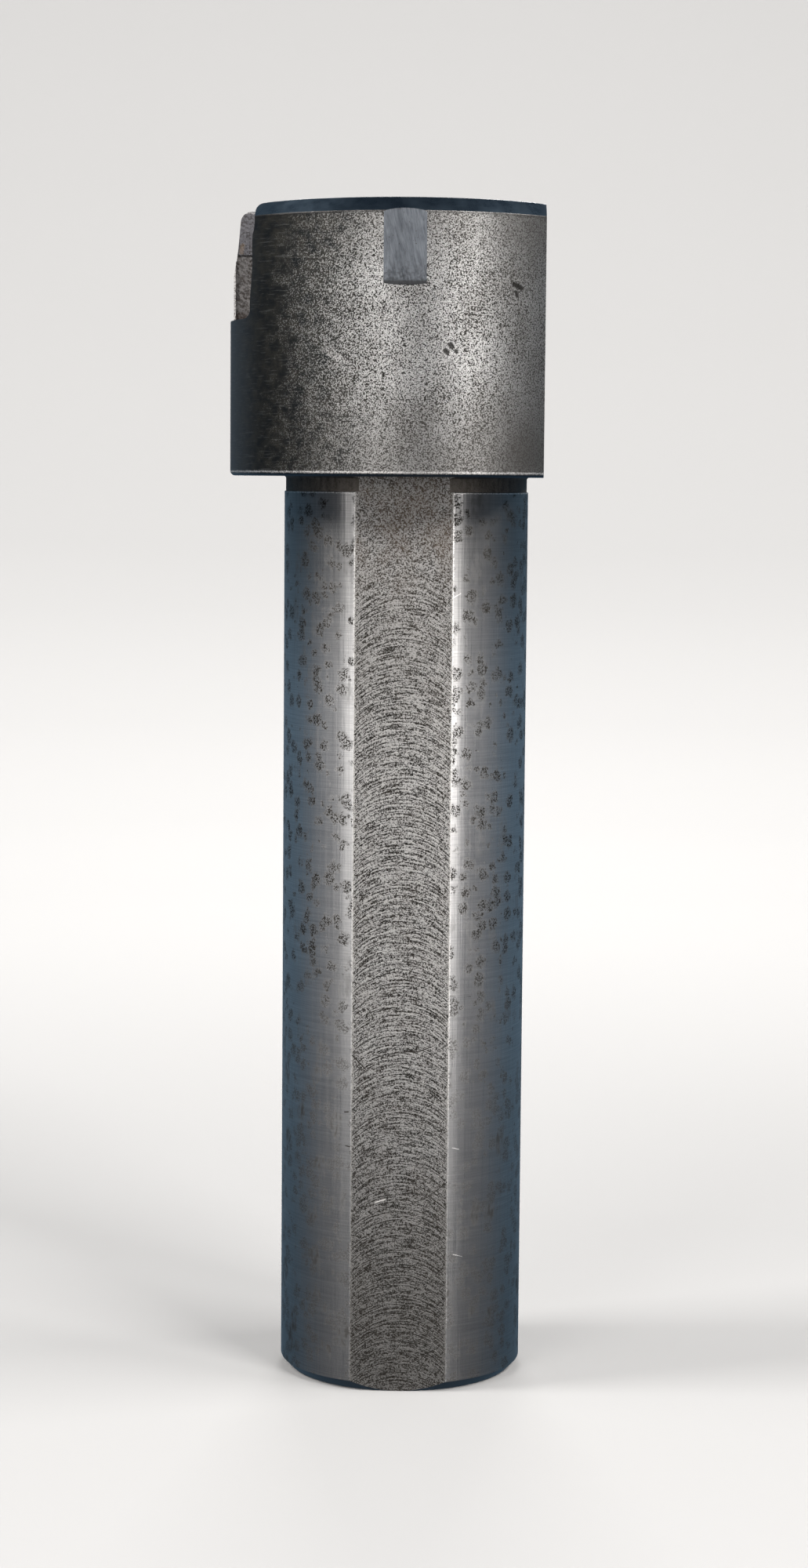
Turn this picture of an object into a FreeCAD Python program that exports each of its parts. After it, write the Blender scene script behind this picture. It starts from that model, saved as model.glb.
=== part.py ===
import FreeCAD, Part
import math
import os

# Boring bar with a round shank, a larger round head and a brazed cutting tip.
# The bar stands on its shank end: Z runs along the bar, up to the head's front face.
# The clamping flat and the tip's rake face look to -Y, the tip lies at -X. Millimetres.

# Shank
shank_diameter = 40.0
shank_length = 146.0
shank_end_chamfer = 1.6
shank_flat_depth = 1.58

# Undercut between shank and head, left by the grinding of the shank
undercut_width = 2.4
undercut_depth = 0.22
undercut_root_radius = 0.4

# Head
head_diameter = 57.86
head_length = 43.1
head_front_chamfer = 2.3
head_back_chamfer = 0.48
head_side_flat_from_axis = 22.03

# Centre holes in both ends, 60 degree, in which the bar was turned and ground
centre_pilot_diameter = 4.0
centre_mouth_diameter = 9.0
centre_cone_angle = 60.0
centre_pilot_length = 4.5
centre_drill_point_angle = 118.0

# Shallow hollow on the crown of the head, open to the front
hollow_width = 6.7
hollow_depth = 0.46
hollow_length = 13.63
hollow_end_radius = 2.0

# Chip pocket over the tip: its floor is the rake face
pocket_length = 18.2
rake_below_axis = 3.5
pocket_corner_radius = 1.3
pocket_front_corner_radius = 1.3
pocket_step_rounding = 0.35
# The wall was ground by hand. How far it stands in from the head's outside, from the
# pocket's step up to the front face
wall_inset_foot = 4.04
wall_inset_lower = 4.42
wall_inset_middle = 4.44
wall_inset_upper = 4.80
wall_inset_top = 4.86
# The same five places as shares of the pocket's length
wall_shares = (0.14, 0.45, 0.69, 0.79, 0.90)

# Cutting tip
tip_width = 3.9
tip_thickness = 4.5
tip_nose_radius = 1.8
tip_clearance_angle = 8.0
tip_front_bevel = 0.25
# The flank was ground in two leads: how far each starts from the front face, and how
# far it brings the flank in from the tip's full reach
tip_lead_start = 10.6
tip_lead_bend = 6.4
tip_lead_bend_inset = 0.66
tip_front_inset = 1.26
# A flake has broken off the rake face at its lower end and left a thin outer land
flake_length = 11.2
flake_step = 0.12
flake_depth = 0.32
flake_land_width = 0.4

# Room by which a cutting solid stands out of the body it cuts
over = 2.0
# Places nearer to each other than this are the same
same_place = 0.0001

shank_radius = shank_diameter / 2
head_radius = head_diameter / 2
undercut_radius = shank_radius - undercut_depth
flat_from_axis = shank_radius - shank_flat_depth
head_back = shank_length + undercut_width
head_front = head_back + head_length
pocket_step = head_front - pocket_length
tip_floor = rake_below_axis + tip_thickness
# The head's outside at the height of the rake face
rake_reach = math.sqrt(head_radius**2 - rake_below_axis**2)


def at(x, y, z):
    return FreeCAD.Vector(x, y, z)


def lines(points):
    """Straight edges from each point to the next."""
    return [Part.makeLine(a, b) for a, b in zip(points, points[1:])]


def quarter(start, corner, end):
    """The quarter circle that rounds a square corner from start to end."""
    centre = start + end - corner
    radius = (start - centre).Length
    middle = centre + (corner - centre).normalize() * radius
    return Part.Arc(start, middle, end).toShape()


def prism(edges, along):
    """A closed outline drawn out along a direction."""
    return Part.Face(Part.Wire(edges)).extrude(along)


def turned(edges):
    """A closed half section turned about the bar's axis."""
    return Part.Face(Part.Wire(edges)).revolve(at(0, 0, 0), at(0, 0, 1), 360)


def block(low, high):
    """A box between two corners."""
    size = high - low
    return Part.makeBox(size.x, size.y, size.z, low)


def turned_blank():
    """Shank, undercut and head, as they come off the lathe."""
    root = undercut_root_radius
    lower = [
        at(0, 0, 0),
        at(shank_radius - shank_end_chamfer, 0, 0),
        at(shank_radius, 0, shank_end_chamfer),
        at(shank_radius, 0, shank_length),
        at(undercut_radius, 0, shank_length),
        at(undercut_radius, 0, head_back - root),
    ]
    upper = [
        at(undercut_radius + root, 0, head_back),
        at(head_radius - head_back_chamfer, 0, head_back),
        at(head_radius, 0, head_back + head_back_chamfer),
        at(head_radius, 0, head_front - head_front_chamfer),
        at(head_radius - head_front_chamfer, 0, head_front),
        at(0, 0, head_front),
        at(0, 0, 0),
    ]
    fillet = quarter(lower[-1], at(undercut_radius, 0, head_back), upper[0])
    return turned(lines(lower) + [fillet] + lines(upper))


def centre_hole(face, into):
    """A centre hole in an end face at height face, bored upwards (1) or downwards (-1)."""
    pilot = centre_pilot_diameter / 2
    mouth = centre_mouth_diameter / 2
    cone = (mouth - pilot) / math.tan(math.radians(centre_cone_angle / 2))
    point = pilot / math.tan(math.radians(centre_drill_point_angle / 2))
    section = [
        (0, -over),
        (mouth, -over),
        (mouth, 0),
        (pilot, cone),
        (pilot, cone + centre_pilot_length),
        (0, cone + centre_pilot_length + point),
        (0, -over),
    ]
    return turned(lines([at(r, 0, face + into * depth) for r, depth in section]))


def shank_flat():
    """The stock milled off the shank, up to the back of the head."""
    low = at(-shank_radius - over, -shank_radius - over, -over)
    high = at(shank_radius + over, -flat_from_axis, head_back)
    return block(low, high)


def head_side_flat():
    """The stock milled off the head's side away from the tip."""
    low = at(head_side_flat_from_axis, -head_radius - over, head_back - over)
    high = at(head_radius + over, head_radius + over, head_front + over)
    return block(low, high)


def crown_hollow():
    """A round-bottomed groove along the crown that rises in an arc at its lower end."""
    half = hollow_width / 2
    bottom = head_radius - hollow_depth
    sagitta = math.sqrt(head_radius**2 - half**2) - bottom
    radius = (half**2 + sagitta**2) / (2 * sagitta)
    rise = hollow_end_radius
    run = math.sqrt(2 * rise * hollow_depth - hollow_depth**2)
    end = head_front - hollow_length + run
    length = hollow_length + over
    groove = Part.makeCylinder(radius, length, at(0, -bottom - radius, end - run))
    low = at(-half, -head_radius - over, end)
    straight = block(low, at(half, -bottom, head_front + over))
    arc_start = at(-half, -bottom - rise, end)
    arc = Part.makeCylinder(rise, hollow_width, arc_start, at(1, 0, 0))
    return groove.common(straight.fuse(arc))


def chip_pocket():
    """The stock over the rake face, bounded by the hand-ground wall and the step."""
    front = -head_radius - over
    rise = pocket_corner_radius
    ease = pocket_front_corner_radius
    insets = (wall_inset_foot, wall_inset_lower, wall_inset_middle, wall_inset_upper, wall_inset_top)
    wall = [at(-head_radius + inset, front, pocket_step + share * pocket_length)
            for share, inset in zip(wall_shares, insets)]
    foot = at(wall[0].x, front, pocket_step + rise)
    top = at(wall[-1].x, front, head_front - ease)
    curve = Part.BSplineCurve()
    up = at(0, 0, 1)
    curve.interpolate(Points=[foot] + wall + [top], InitialTangent=up, FinalTangent=up)
    outside = -head_radius - over
    lower = [at(outside, front, pocket_step), at(foot.x - rise, front, pocket_step)]
    upper = [
        at(top.x + ease, front, head_front),
        at(top.x + ease, front, head_front + over),
        at(outside, front, head_front + over),
        at(outside, front, pocket_step),
    ]
    corner = quarter(lower[-1], at(foot.x, front, pocket_step), foot)
    eased = quarter(top, at(top.x, front, head_front), upper[0])
    edges = lines(lower) + [corner, curve.toShape(), eased] + lines(upper)
    return prism(edges, at(0, rake_below_axis - front, 0))


def tip_seat():
    """The square seat into which the tip is brazed, under the rake face."""
    low = at(-head_radius - over, rake_below_axis, pocket_step)
    high = at(-head_radius + tip_width, tip_floor, head_front + over)
    return block(low, high)


def with_clearance(edges):
    """An outline at the rake face, drawn out below it and inwards by the clearance."""
    depth = head_radius
    inwards = depth * math.tan(math.radians(tip_clearance_angle))
    return prism(edges, at(inwards, depth, 0))


def flank_relief():
    """The stock ground off outside the two leads of the tip's flank."""
    outside = -head_radius - over
    start = at(-rake_reach, rake_below_axis, head_front - tip_lead_start)
    bend = at(-rake_reach + tip_lead_bend_inset, rake_below_axis, head_front - tip_lead_bend)
    front = at(-rake_reach + tip_front_inset, rake_below_axis, head_front)
    first = start + (start - bend) * ((start.x - outside) / (bend.x - start.x))
    last = front + (front - bend) * (over / tip_lead_bend)
    return with_clearance(lines([first, bend, last, at(outside, last.y, last.z), first]))


def nose_rounding():
    """The stock ground off the tip's front corner."""
    share = tip_nose_radius / tip_lead_bend
    inset = tip_front_inset + share * (tip_lead_bend_inset - tip_front_inset)
    side = -rake_reach + inset
    start = at(side, rake_below_axis, head_front - tip_nose_radius)
    corner = at(side, rake_below_axis, head_front)
    end = at(side + tip_nose_radius, rake_below_axis, head_front)
    around = [
        end,
        at(end.x, rake_below_axis, head_front + over),
        at(side - over, rake_below_axis, head_front + over),
        at(side - over, rake_below_axis, start.z),
        start,
    ]
    return with_clearance([quarter(start, corner, end)] + lines(around))


def tip_front_edge():
    """The thin bevel along the front edge of the rake face."""
    low = -head_radius - over
    bevel = tip_front_bevel
    corner = [
        at(low, rake_below_axis, head_front - bevel),
        at(low, rake_below_axis + bevel + over, head_front + over),
        at(low, rake_below_axis, head_front + over),
        at(low, rake_below_axis, head_front - bevel),
    ]
    return prism(lines(corner), at(tip_width + 2 * over, 0, 0))


def broken_flake():
    """The flake that has come off the rake face, inside the outer land."""
    inner = -head_radius + tip_width + over
    outer = -rake_reach + flake_land_width
    top = pocket_step + flake_length
    side = [
        at(outer, rake_below_axis - over, top),
        at(outer, rake_below_axis, top),
        at(outer, rake_below_axis + flake_step, top - flake_step),
        at(outer, rake_below_axis + flake_depth, pocket_step - over),
        at(outer, rake_below_axis - over, pocket_step - over),
        at(outer, rake_below_axis - over, top),
    ]
    return prism(lines(side), at(inner - outer, 0, 0))


def step_edge(body):
    """The outer edge of the pocket's step, where it meets the round of the head."""
    def lies_there(edge):
        middle = edge.valueAt((edge.FirstParameter + edge.LastParameter) / 2)
        on_the_round = abs(math.hypot(middle.x, middle.y) - head_radius) < same_place
        return on_the_round and abs(middle.z - pocket_step) < same_place and middle.x < 0

    return [edge for edge in body.Edges if lies_there(edge)]


def bar_body():
    """The steel bar: one turned, milled and ground piece."""
    body = turned_blank()
    body = body.cut(centre_hole(0, 1)).cut(centre_hole(head_front, -1))
    body = body.cut(shank_flat()).cut(head_side_flat()).cut(crown_hollow())
    body = body.cut(chip_pocket()).cut(tip_seat())
    body = body.makeFillet(pocket_step_rounding, step_edge(body))
    return body.cut(flank_relief()).removeSplitter()


def carbide_tip():
    """The tip fills its seat, flush with the round and the front face of the head."""
    outside = Part.makeCylinder(head_radius, pocket_length, at(0, 0, pocket_step))
    tip = outside.common(tip_seat()).cut(flank_relief()).cut(nose_rounding())
    return tip.cut(tip_front_edge()).cut(broken_flake()).removeSplitter()


os.makedirs("parts", exist_ok=True)
bar_body().exportStep("parts/bar_body.step")
carbide_tip().exportStep("parts/carbide_tip.step")
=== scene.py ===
# %% [markdown]
# A boring bar: one steel bar, turned, milled and ground, with a carbide tip brazed into
# its head. The CAD model gives its pieces their true sizes. This script dresses them:
# each piece is modelled again with softer edges and gets the finish of every machining
# step that made it. The first cell loads the CAD model as a fixed frame in metres, with
# the bar standing on its shank end and Z running up its axis.

# %% Load the frame
import math

import bmesh
import bpy
from mathutils import Matrix, Vector, noise


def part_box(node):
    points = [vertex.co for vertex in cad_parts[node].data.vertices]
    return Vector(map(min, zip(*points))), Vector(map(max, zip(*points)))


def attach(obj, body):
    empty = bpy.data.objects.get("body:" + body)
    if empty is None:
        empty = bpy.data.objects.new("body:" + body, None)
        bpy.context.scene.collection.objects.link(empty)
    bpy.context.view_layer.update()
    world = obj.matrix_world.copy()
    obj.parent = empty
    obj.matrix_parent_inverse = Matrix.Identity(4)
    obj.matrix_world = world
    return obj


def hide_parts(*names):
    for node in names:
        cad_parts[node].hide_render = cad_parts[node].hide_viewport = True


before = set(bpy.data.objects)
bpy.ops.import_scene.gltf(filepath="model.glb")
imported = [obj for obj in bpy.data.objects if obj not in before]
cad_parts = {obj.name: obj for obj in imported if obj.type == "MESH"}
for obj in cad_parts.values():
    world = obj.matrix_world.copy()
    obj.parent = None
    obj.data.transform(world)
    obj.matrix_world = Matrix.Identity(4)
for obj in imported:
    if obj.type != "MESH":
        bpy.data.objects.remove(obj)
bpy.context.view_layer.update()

MM = 0.001
MERGE = 1e-7
BODY_LOW, BODY_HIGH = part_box("bar_body")
TIP_LOW, TIP_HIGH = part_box("carbide_tip")
print("bar_body", [round(v / MM, 2) for v in BODY_HIGH - BODY_LOW], "mm")
print("carbide_tip", [round(v / MM, 2) for v in TIP_HIGH - TIP_LOW], "mm")

# %% [markdown]
# The camera comes first, because every finish is judged through it. The photograph was
# taken from about half a metre, a little above the middle of the bar and looking down
# by less than six degrees. A camera's matrix is three directions and a place: right,
# up, and back (a Blender camera looks along its own -Z).

# %% Camera
CAMERA_PLACE = Vector((8.36, -517.45, 148.70)) * MM
CAMERA_DOWN = math.radians(5.630)
CAMERA_TURN = math.radians(-0.926)
CAMERA_ROLL = math.radians(0.462)
CAMERA_LENS = 71.97

forward = Vector((
    math.sin(CAMERA_TURN) * math.cos(CAMERA_DOWN),
    math.cos(CAMERA_TURN) * math.cos(CAMERA_DOWN),
    -math.sin(CAMERA_DOWN),
))
level = Vector((math.cos(CAMERA_TURN), -math.sin(CAMERA_TURN), 0.0))
upright = level.cross(forward)
right = math.cos(CAMERA_ROLL) * level + math.sin(CAMERA_ROLL) * upright
up = math.cos(CAMERA_ROLL) * upright - math.sin(CAMERA_ROLL) * level

camera_data = bpy.data.cameras.new("camera")
camera_data.lens = CAMERA_LENS
camera_data.clip_start = 0.01
camera = bpy.data.objects.new("camera", camera_data)
turned_axes = Matrix((right, up, -forward)).transposed().to_4x4()
camera.matrix_world = Matrix.Translation(CAMERA_PLACE) @ turned_axes
bpy.context.scene.collection.objects.link(camera)
bpy.context.scene.camera = camera
bpy.context.scene.view_settings.view_transform = "Standard"
print("camera", round(CAMERA_PLACE.length, 3), "m from the foot of the bar")

# %% [markdown]
# Shader nodes are easier to read as sums than as boxes. A wire stands for a socket that
# a number, colour or place comes out of, and arithmetic with wires makes the Math nodes
# for it: `pits * 0.7 + 0.3` is two nodes. `add` makes any other node, with its inputs
# given by name or number as plain values or as wires. A colour is written as red, green
# and blue, and `blend` adds that it is opaque.

# %% Helpers for nodes
class Wire:
    """What comes out of a socket. Arithmetic with it makes Math nodes in its tree."""

    def __init__(self, socket):
        self.socket = socket
        self.tree = socket.id_data

    def __add__(self, other):
        return value("ADD", self, other)

    def __radd__(self, other):
        return value("ADD", other, self)

    def __sub__(self, other):
        return value("SUBTRACT", self, other)

    def __rsub__(self, other):
        return value("SUBTRACT", other, self)

    def __mul__(self, other):
        return value("MULTIPLY", self, other)

    def __truediv__(self, other):
        return value("DIVIDE", self, other)

    def __rtruediv__(self, other):
        return value("DIVIDE", other, self)

    def __abs__(self):
        return value("ABSOLUTE", self)


def join(wire, socket):
    """A link from a wire to an input."""
    wire.tree.links.new(wire.socket, socket)


def give(node, inputs):
    """Sets the inputs of a node, or links those that are given as wires."""
    for name, given in inputs.items():
        if isinstance(given, Wire):
            join(given, node.inputs[name])
        else:
            node.inputs[name].default_value = given


def add(tree, kind, inputs, out=None, **settings):
    """A new node with its settings and inputs. With out it returns that output's wire."""
    made = tree.nodes.new("ShaderNode" + kind)
    for name, setting in settings.items():
        setattr(made, name, setting)
    give(made, inputs)
    return made if out is None else Wire(made.outputs[out])


def tree_of(terms):
    """The tree that the wires among the terms run in."""
    return next(term.tree for term in terms if isinstance(term, Wire))


def value(operation, *terms):
    """Arithmetic on numbers and wires."""
    return add(tree_of(terms), "Math", dict(enumerate(terms)), 0, operation=operation)


def larger(first, second):
    """The larger of two numbers: two masks laid over each other."""
    return value("MAXIMUM", first, second)


def vector(operation, *terms):
    """Arithmetic on places and directions."""
    return add(tree_of(terms), "VectorMath", dict(enumerate(terms)), 0, operation=operation)


def blend(share, first, second):
    """The first colour where share is 0 and the second where it is 1."""
    first, second = ((*colour, 1.0) if isinstance(colour, tuple) else colour for colour in (first, second))
    return add(share.tree, "Mix", {"Factor": share, "A": first, "B": second}, "Result", data_type="RGBA")


def blend_values(share, first, second):
    """The first number where share is 0 and the second where it is 1."""
    return add(share.tree, "Mix", {"Factor": share, "A": first, "B": second}, "Result")


def smooth(given, low, high):
    """0 at low and 1 at high, eased at both ends."""
    inputs = {"Value": given, "From Min": low, "From Max": high}
    return add(given.tree, "MapRange", inputs, "Result", interpolation_type="SMOOTHSTEP")


# %% [markdown]
# The backdrop is a plain pale room: a flat floor that curves up into a wall, turned all
# the way round the bar, so that no view meets an edge. It is made as a potter would,
# by spinning a section about the axis. The glossy rays of the steel don't see it: in
# the photograph the bar reflects its lights and the dark room around them, and a pale
# wall close by would wash those reflections out.

# %% Room
ROOM_RADIUS = 1.7
ROOM_CURVE = 1.1
ROOM_HEIGHT = 2.4
ROOM_STEPS = 96
CURVE_STEPS = 12
ROOM_PAINT = (0.335, 0.338, 0.342, 1.0)


def new_object(name, bm):
    """An object at the origin from a bmesh."""
    mesh = bpy.data.meshes.new(name)
    bm.to_mesh(mesh)
    bm.free()
    made = bpy.data.objects.new(name, mesh)
    bpy.context.scene.collection.objects.link(made)
    return made


def spun(bm, points, steps):
    """The surface that a line of (radius, height) points sweeps about Z."""
    verts = [bm.verts.new((r, 0.0, z)) for r, z in points]
    edges = [bm.edges.new(pair) for pair in zip(verts, verts[1:])]
    bmesh.ops.spin(bm, geom=verts + edges, cent=(0, 0, 0), axis=(0, 0, 1),
                   angle=math.tau, steps=steps, use_merge=True)
    bmesh.ops.remove_doubles(bm, verts=bm.verts, dist=MERGE)
    bmesh.ops.recalc_face_normals(bm, faces=bm.faces)


room_bm = bmesh.new()
floor_reach = ROOM_RADIUS - ROOM_CURVE
section = [(0.0, 0.0), (floor_reach, 0.0)]
for step in range(1, CURVE_STEPS + 1):
    angle = math.radians(90.0 * step / CURVE_STEPS)
    section.append((floor_reach + ROOM_CURVE * math.sin(angle), ROOM_CURVE * (1 - math.cos(angle))))
section.append((ROOM_RADIUS, ROOM_HEIGHT))
spun(room_bm, section, ROOM_STEPS)
for face in room_bm.faces:
    face.smooth = True
room = new_object("room", room_bm)
room.visible_glossy = False

room_paint = bpy.data.materials.new("pale_room")
room_paint.use_nodes = True
tree = room_paint.node_tree
paint = tree.nodes["Principled BSDF"]
paint.inputs["Base Color"].default_value = ROOM_PAINT
paint.inputs["Roughness"].default_value = 0.9
room.data.materials.append(room_paint)
print("room", len(room.data.polygons), "faces")

# %% [markdown]
# Bare steel shows its lights as bright bands, and a band on a round bar lies half-way
# between camera and light. So the bands of the photograph tell where its lights were:
# seven soft ones stand high around the front, three weak ones low down for the foot of
# the shank, and one behind gives the outline its thin edge. The last one only washes
# the wall. The lights are a little warm. The surroundings between them are a dim grey
# in front of the bar and turn cooler behind it, which tints the sides of the shank.

# %% Lights
AIM_HEIGHT = 0.11
WARM = (1.0, 0.965, 0.93)
HIGH = (0.75, 0.75, 0.30, 0.24)
LOW = (0.50, 0.16, 0.20, 0.26)
BEHIND = (0.75, 0.60, 0.30, 0.24)
ON_WALL = (0.35, 0.95, 1.0, 0.4)
WALL_TILT = math.radians(75.0)
SKY_IN_FRONT = (0.66, 0.70, 0.78)
SKY_BEHIND = (0.46, 0.73, 1.0)
SKY_STRENGTH = 0.175


def soft_light(name, azimuth, stand, power):
    """A rectangular soft light on a stand of distance, height and size. Azimuth 0 is the
    camera's side, and +90 is +X."""
    distance, height, wide, tall = stand
    data = bpy.data.lights.new(name, "AREA")
    data.shape = "RECTANGLE"
    data.size = wide
    data.size_y = tall
    data.energy = power
    data.color = WARM
    light = bpy.data.objects.new(name, data)
    angle = math.radians(azimuth)
    place = Vector((distance * math.sin(angle), -distance * math.cos(angle), height))
    towards = Vector((0.0, 0.0, AIM_HEIGHT)) - place
    facing = towards.to_track_quat("-Z", "Y").to_matrix().to_4x4()
    light.matrix_world = Matrix.Translation(place) @ facing
    light.visible_camera = False
    bpy.context.scene.collection.objects.link(light)
    return light


for name, azimuth, stand, power in (
    ("front", 20.0, HIGH, 0.4),
    ("right", 38.0, HIGH, 8.0),
    ("right_strip", 71.0, HIGH, 4.6),
    ("right_side", 95.0, HIGH, 4.6),
    ("left", -28.0, HIGH, 2.4),
    ("left_side", -78.0, HIGH, 9.4),
    ("far_left", -94.0, HIGH, 1.6),
    ("low_right", 40.0, LOW, 0.50),
    ("low_front", -15.0, LOW, 0.45),
    ("low_left", -45.0, LOW, 0.28),
    ("back", 180.0, BEHIND, 3.5),
):
    soft_light(name, azimuth, stand, power)
wall_wash = soft_light("backdrop", 180.0, ON_WALL, 25.0)
wall_wash.rotation_euler = (WALL_TILT, 0.0, 0.0)

world = bpy.data.worlds.new("surroundings")
world.use_nodes = True
tree = world.node_tree
direction = add(tree, "TexCoord", {}, "Generated")
backwards = add(tree, "SeparateXYZ", {"Vector": direction}, "Y")
background = tree.nodes["Background"]
join(blend(smooth(backwards, -0.40, 0.65), SKY_IN_FRONT, SKY_BEHIND), background.inputs["Color"])
background.inputs["Strength"].default_value = SKY_STRENGTH
bpy.context.scene.world = world
lamps = [item for item in bpy.context.scene.objects if item.type == "LIGHT"]
print(len(lamps), "lights,", round(sum(lamp.data.energy for lamp in lamps), 1), "watts")

# %% [markdown]
# A bar like this shows nine finishes, one for each tool that made it and each place
# that wore. Many of them share an effect: fine lines, specks, stains, scratches,
# bright worn rims. Each effect is a node group, built once, with the sizes as inputs
# in millimetres. The groups hand out masks only, and each finish colours them itself.

# %% Helpers for groups and materials
def new_group(name, inputs, output):
    """An empty group. Returns it with the wires of its inputs and its output socket."""
    group = bpy.data.node_groups.new(name, "ShaderNodeTree")
    for label, given in inputs.items():
        kind = "NodeSocketFloat" if isinstance(given, float) else "NodeSocketVector"
        socket = group.interface.new_socket(label, in_out="INPUT", socket_type=kind)
        socket.default_value = given
    group.interface.new_socket(output, in_out="OUTPUT", socket_type="NodeSocketFloat")
    begin = {label: Wire(socket) for label, socket in group.nodes.new("NodeGroupInput").outputs.items()}
    end = group.nodes.new("NodeGroupOutput").inputs[output]
    return group, begin, end


def use(group, **inputs):
    """A copy of a group where its input wires run. Returns its output."""
    made = tree_of(inputs.values()).nodes.new("ShaderNodeGroup")
    made.node_tree = group
    give(made, inputs)
    return Wire(made.outputs[0])


def steel(name, anisotropy=0.0):
    """A bare metal. Returns it, its tree, its shader and the place on it in millimetres."""
    material = bpy.data.materials.new(name)
    material.use_nodes = True
    tree = material.node_tree
    shader = tree.nodes["Principled BSDF"]
    shader.inputs["Metallic"].default_value = 1.0
    shader.inputs["Anisotropic"].default_value = anisotropy
    shader.inputs["Anisotropic Rotation"].default_value = 0.25
    metres = add(tree, "TexCoord", {}, "Object")
    place = add(tree, "Mapping", {"Vector": metres, "Scale": (1 / MM,) * 3}, "Vector")
    return material, tree, shader, place


def finish_with(shader, colour, roughness, height, depth):
    """Feeds the shader. The height's full swing is depth millimetres deep."""
    give(shader, {"Base Color": colour, "Roughness": roughness})
    bump = {"Height": height, "Strength": 1.0, "Distance": depth * MM}
    join(add(colour.tree, "Bump", bump, "Normal"), shader.inputs["Normal"])


def axis(place, name):
    """One coordinate of a place."""
    return add(place.tree, "SeparateXYZ", {"Vector": place}, name)


# %% [markdown]
# Lines first. Grinding, turning and polishing all leave lines along one direction.
# Noise becomes lines when it is squeezed across them and stretched along them.

# %% Group: lines
ORIGIN = (0.0, 0.0, 0.0)
lines, begin, end = new_group("lines", {"Place": ORIGIN, "Squeeze": (1.0, 1.0, 1.0)}, "Value")
squeezed = vector("MULTIPLY", begin["Place"], begin["Squeeze"])
noisy = {"Vector": squeezed, "Scale": 1.0, "Detail": 4.0, "Roughness": 0.65}
join(smooth(add(lines, "TexNoise", noisy, "Fac"), 0.28, 0.72), end)
print("lines:", len(lines.nodes), "nodes")

# %% [markdown]
# Specks are noise cut off at a level: a low level lets most of it through, a high one
# leaves single dots. Pits, grain and the bright flecks of milling are all specks.

# %% Group: specks
specks, begin, end = new_group(
    "specks", {"Place": ORIGIN, "Fineness": 1.0, "Level": 0.5, "Softness": 0.1}, "Mask")
noisy = {"Vector": begin["Place"], "Scale": begin["Fineness"], "Detail": 1.5, "Roughness": 0.5}
grain = add(specks, "TexNoise", noisy, "Fac")
low = begin["Level"] - begin["Softness"]
high = begin["Level"] + begin["Softness"]
join(smooth(grain, low, high), end)
print("specks:", len(specks.nodes), "nodes")

# %% [markdown]
# A stain on a ground shank is a cluster of tiny rust pits under a drop that dried
# there. Voronoi cells scatter the drops, their random colour makes them large, small
# or absent, and specks fill them.

# %% Group: stains
STAIN_WOBBLE = 1.6
SMALLEST_STAIN = 0.01
STAIN_FLOOR = 0.20
stains, begin, end = new_group(
    "stains", {"Place": ORIGIN, "Spacing": 5.0, "Size": 1.0, "Fineness": 3.0, "Blur": 0.1}, "Mask")
wobble = add(stains, "TexNoise", {"Vector": begin["Place"], "Scale": 1.1, "Detail": 2.0}, "Color")
wobble = vector("SUBTRACT", wobble, (0.5, 0.5, 0.5))
wobble = add(stains, "VectorMath", {0: wobble, "Scale": STAIN_WOBBLE}, out=0, operation="SCALE")
shifted = vector("ADD", begin["Place"], wobble)
per_millimetre = 1.0 / begin["Spacing"]
drops = add(stains, "TexVoronoi", {"Vector": shifted, "Scale": per_millimetre})
away = Wire(drops.outputs["Distance"]) * begin["Spacing"]
luck = add(stains, "SeparateColor", {"Color": Wire(drops.outputs["Color"])}, out="Red")
radius = larger(begin["Size"] * smooth(luck, 0.0, 0.65), SMALLEST_STAIN)
drop = smooth(away / radius, 1.1, 0.6)
dots = use(specks, Place=begin["Place"], Fineness=begin["Fineness"], Level=0.5, Softness=begin["Blur"])
dots = STAIN_FLOOR + dots * (1.0 - STAIN_FLOOR)
join(drop * dots, end)
print("stains:", len(stains.nodes), "nodes")

# %% [markdown]
# A scratch or a nick is a short line with two ends. The mask is 1 within its width
# and fades at once outside: the distance from a point to a stretch, worked out with
# vector arithmetic. With both ends in one place it makes a round pit.

# %% Group: scratch
scratch, begin, end = new_group(
    "scratch", {"Place": ORIGIN, "Start": ORIGIN, "End": (1.0, 0.0, 0.0), "Width": 0.1}, "Mask")
line = vector("SUBTRACT", begin["End"], begin["Start"])
here = vector("SUBTRACT", begin["Place"], begin["Start"])
length = add(scratch, "VectorMath", {0: line, 1: line}, out="Value", operation="DOT_PRODUCT")
along = add(scratch, "VectorMath", {0: here, 1: line}, out="Value", operation="DOT_PRODUCT")
share = along / larger(length, 0.0001)
share = add(scratch, "Clamp", {"Value": share}, out=0)
foot = add(scratch, "VectorMath", {0: line, "Scale": share}, out=0, operation="SCALE")
aside = add(scratch, "VectorMath", {0: here, 1: foot}, out="Value", operation="DISTANCE")
join(smooth(aside / begin["Width"], 1.0, 0.4), end)


def marks(place, stretches):
    """The mask of several scratches, each (start, end, width)."""
    total = None
    for start, stop, width in stretches:
        one = use(scratch, Place=place, Start=start, End=stop, Width=width)
        total = one if total is None else larger(total, one)
    return total
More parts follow.
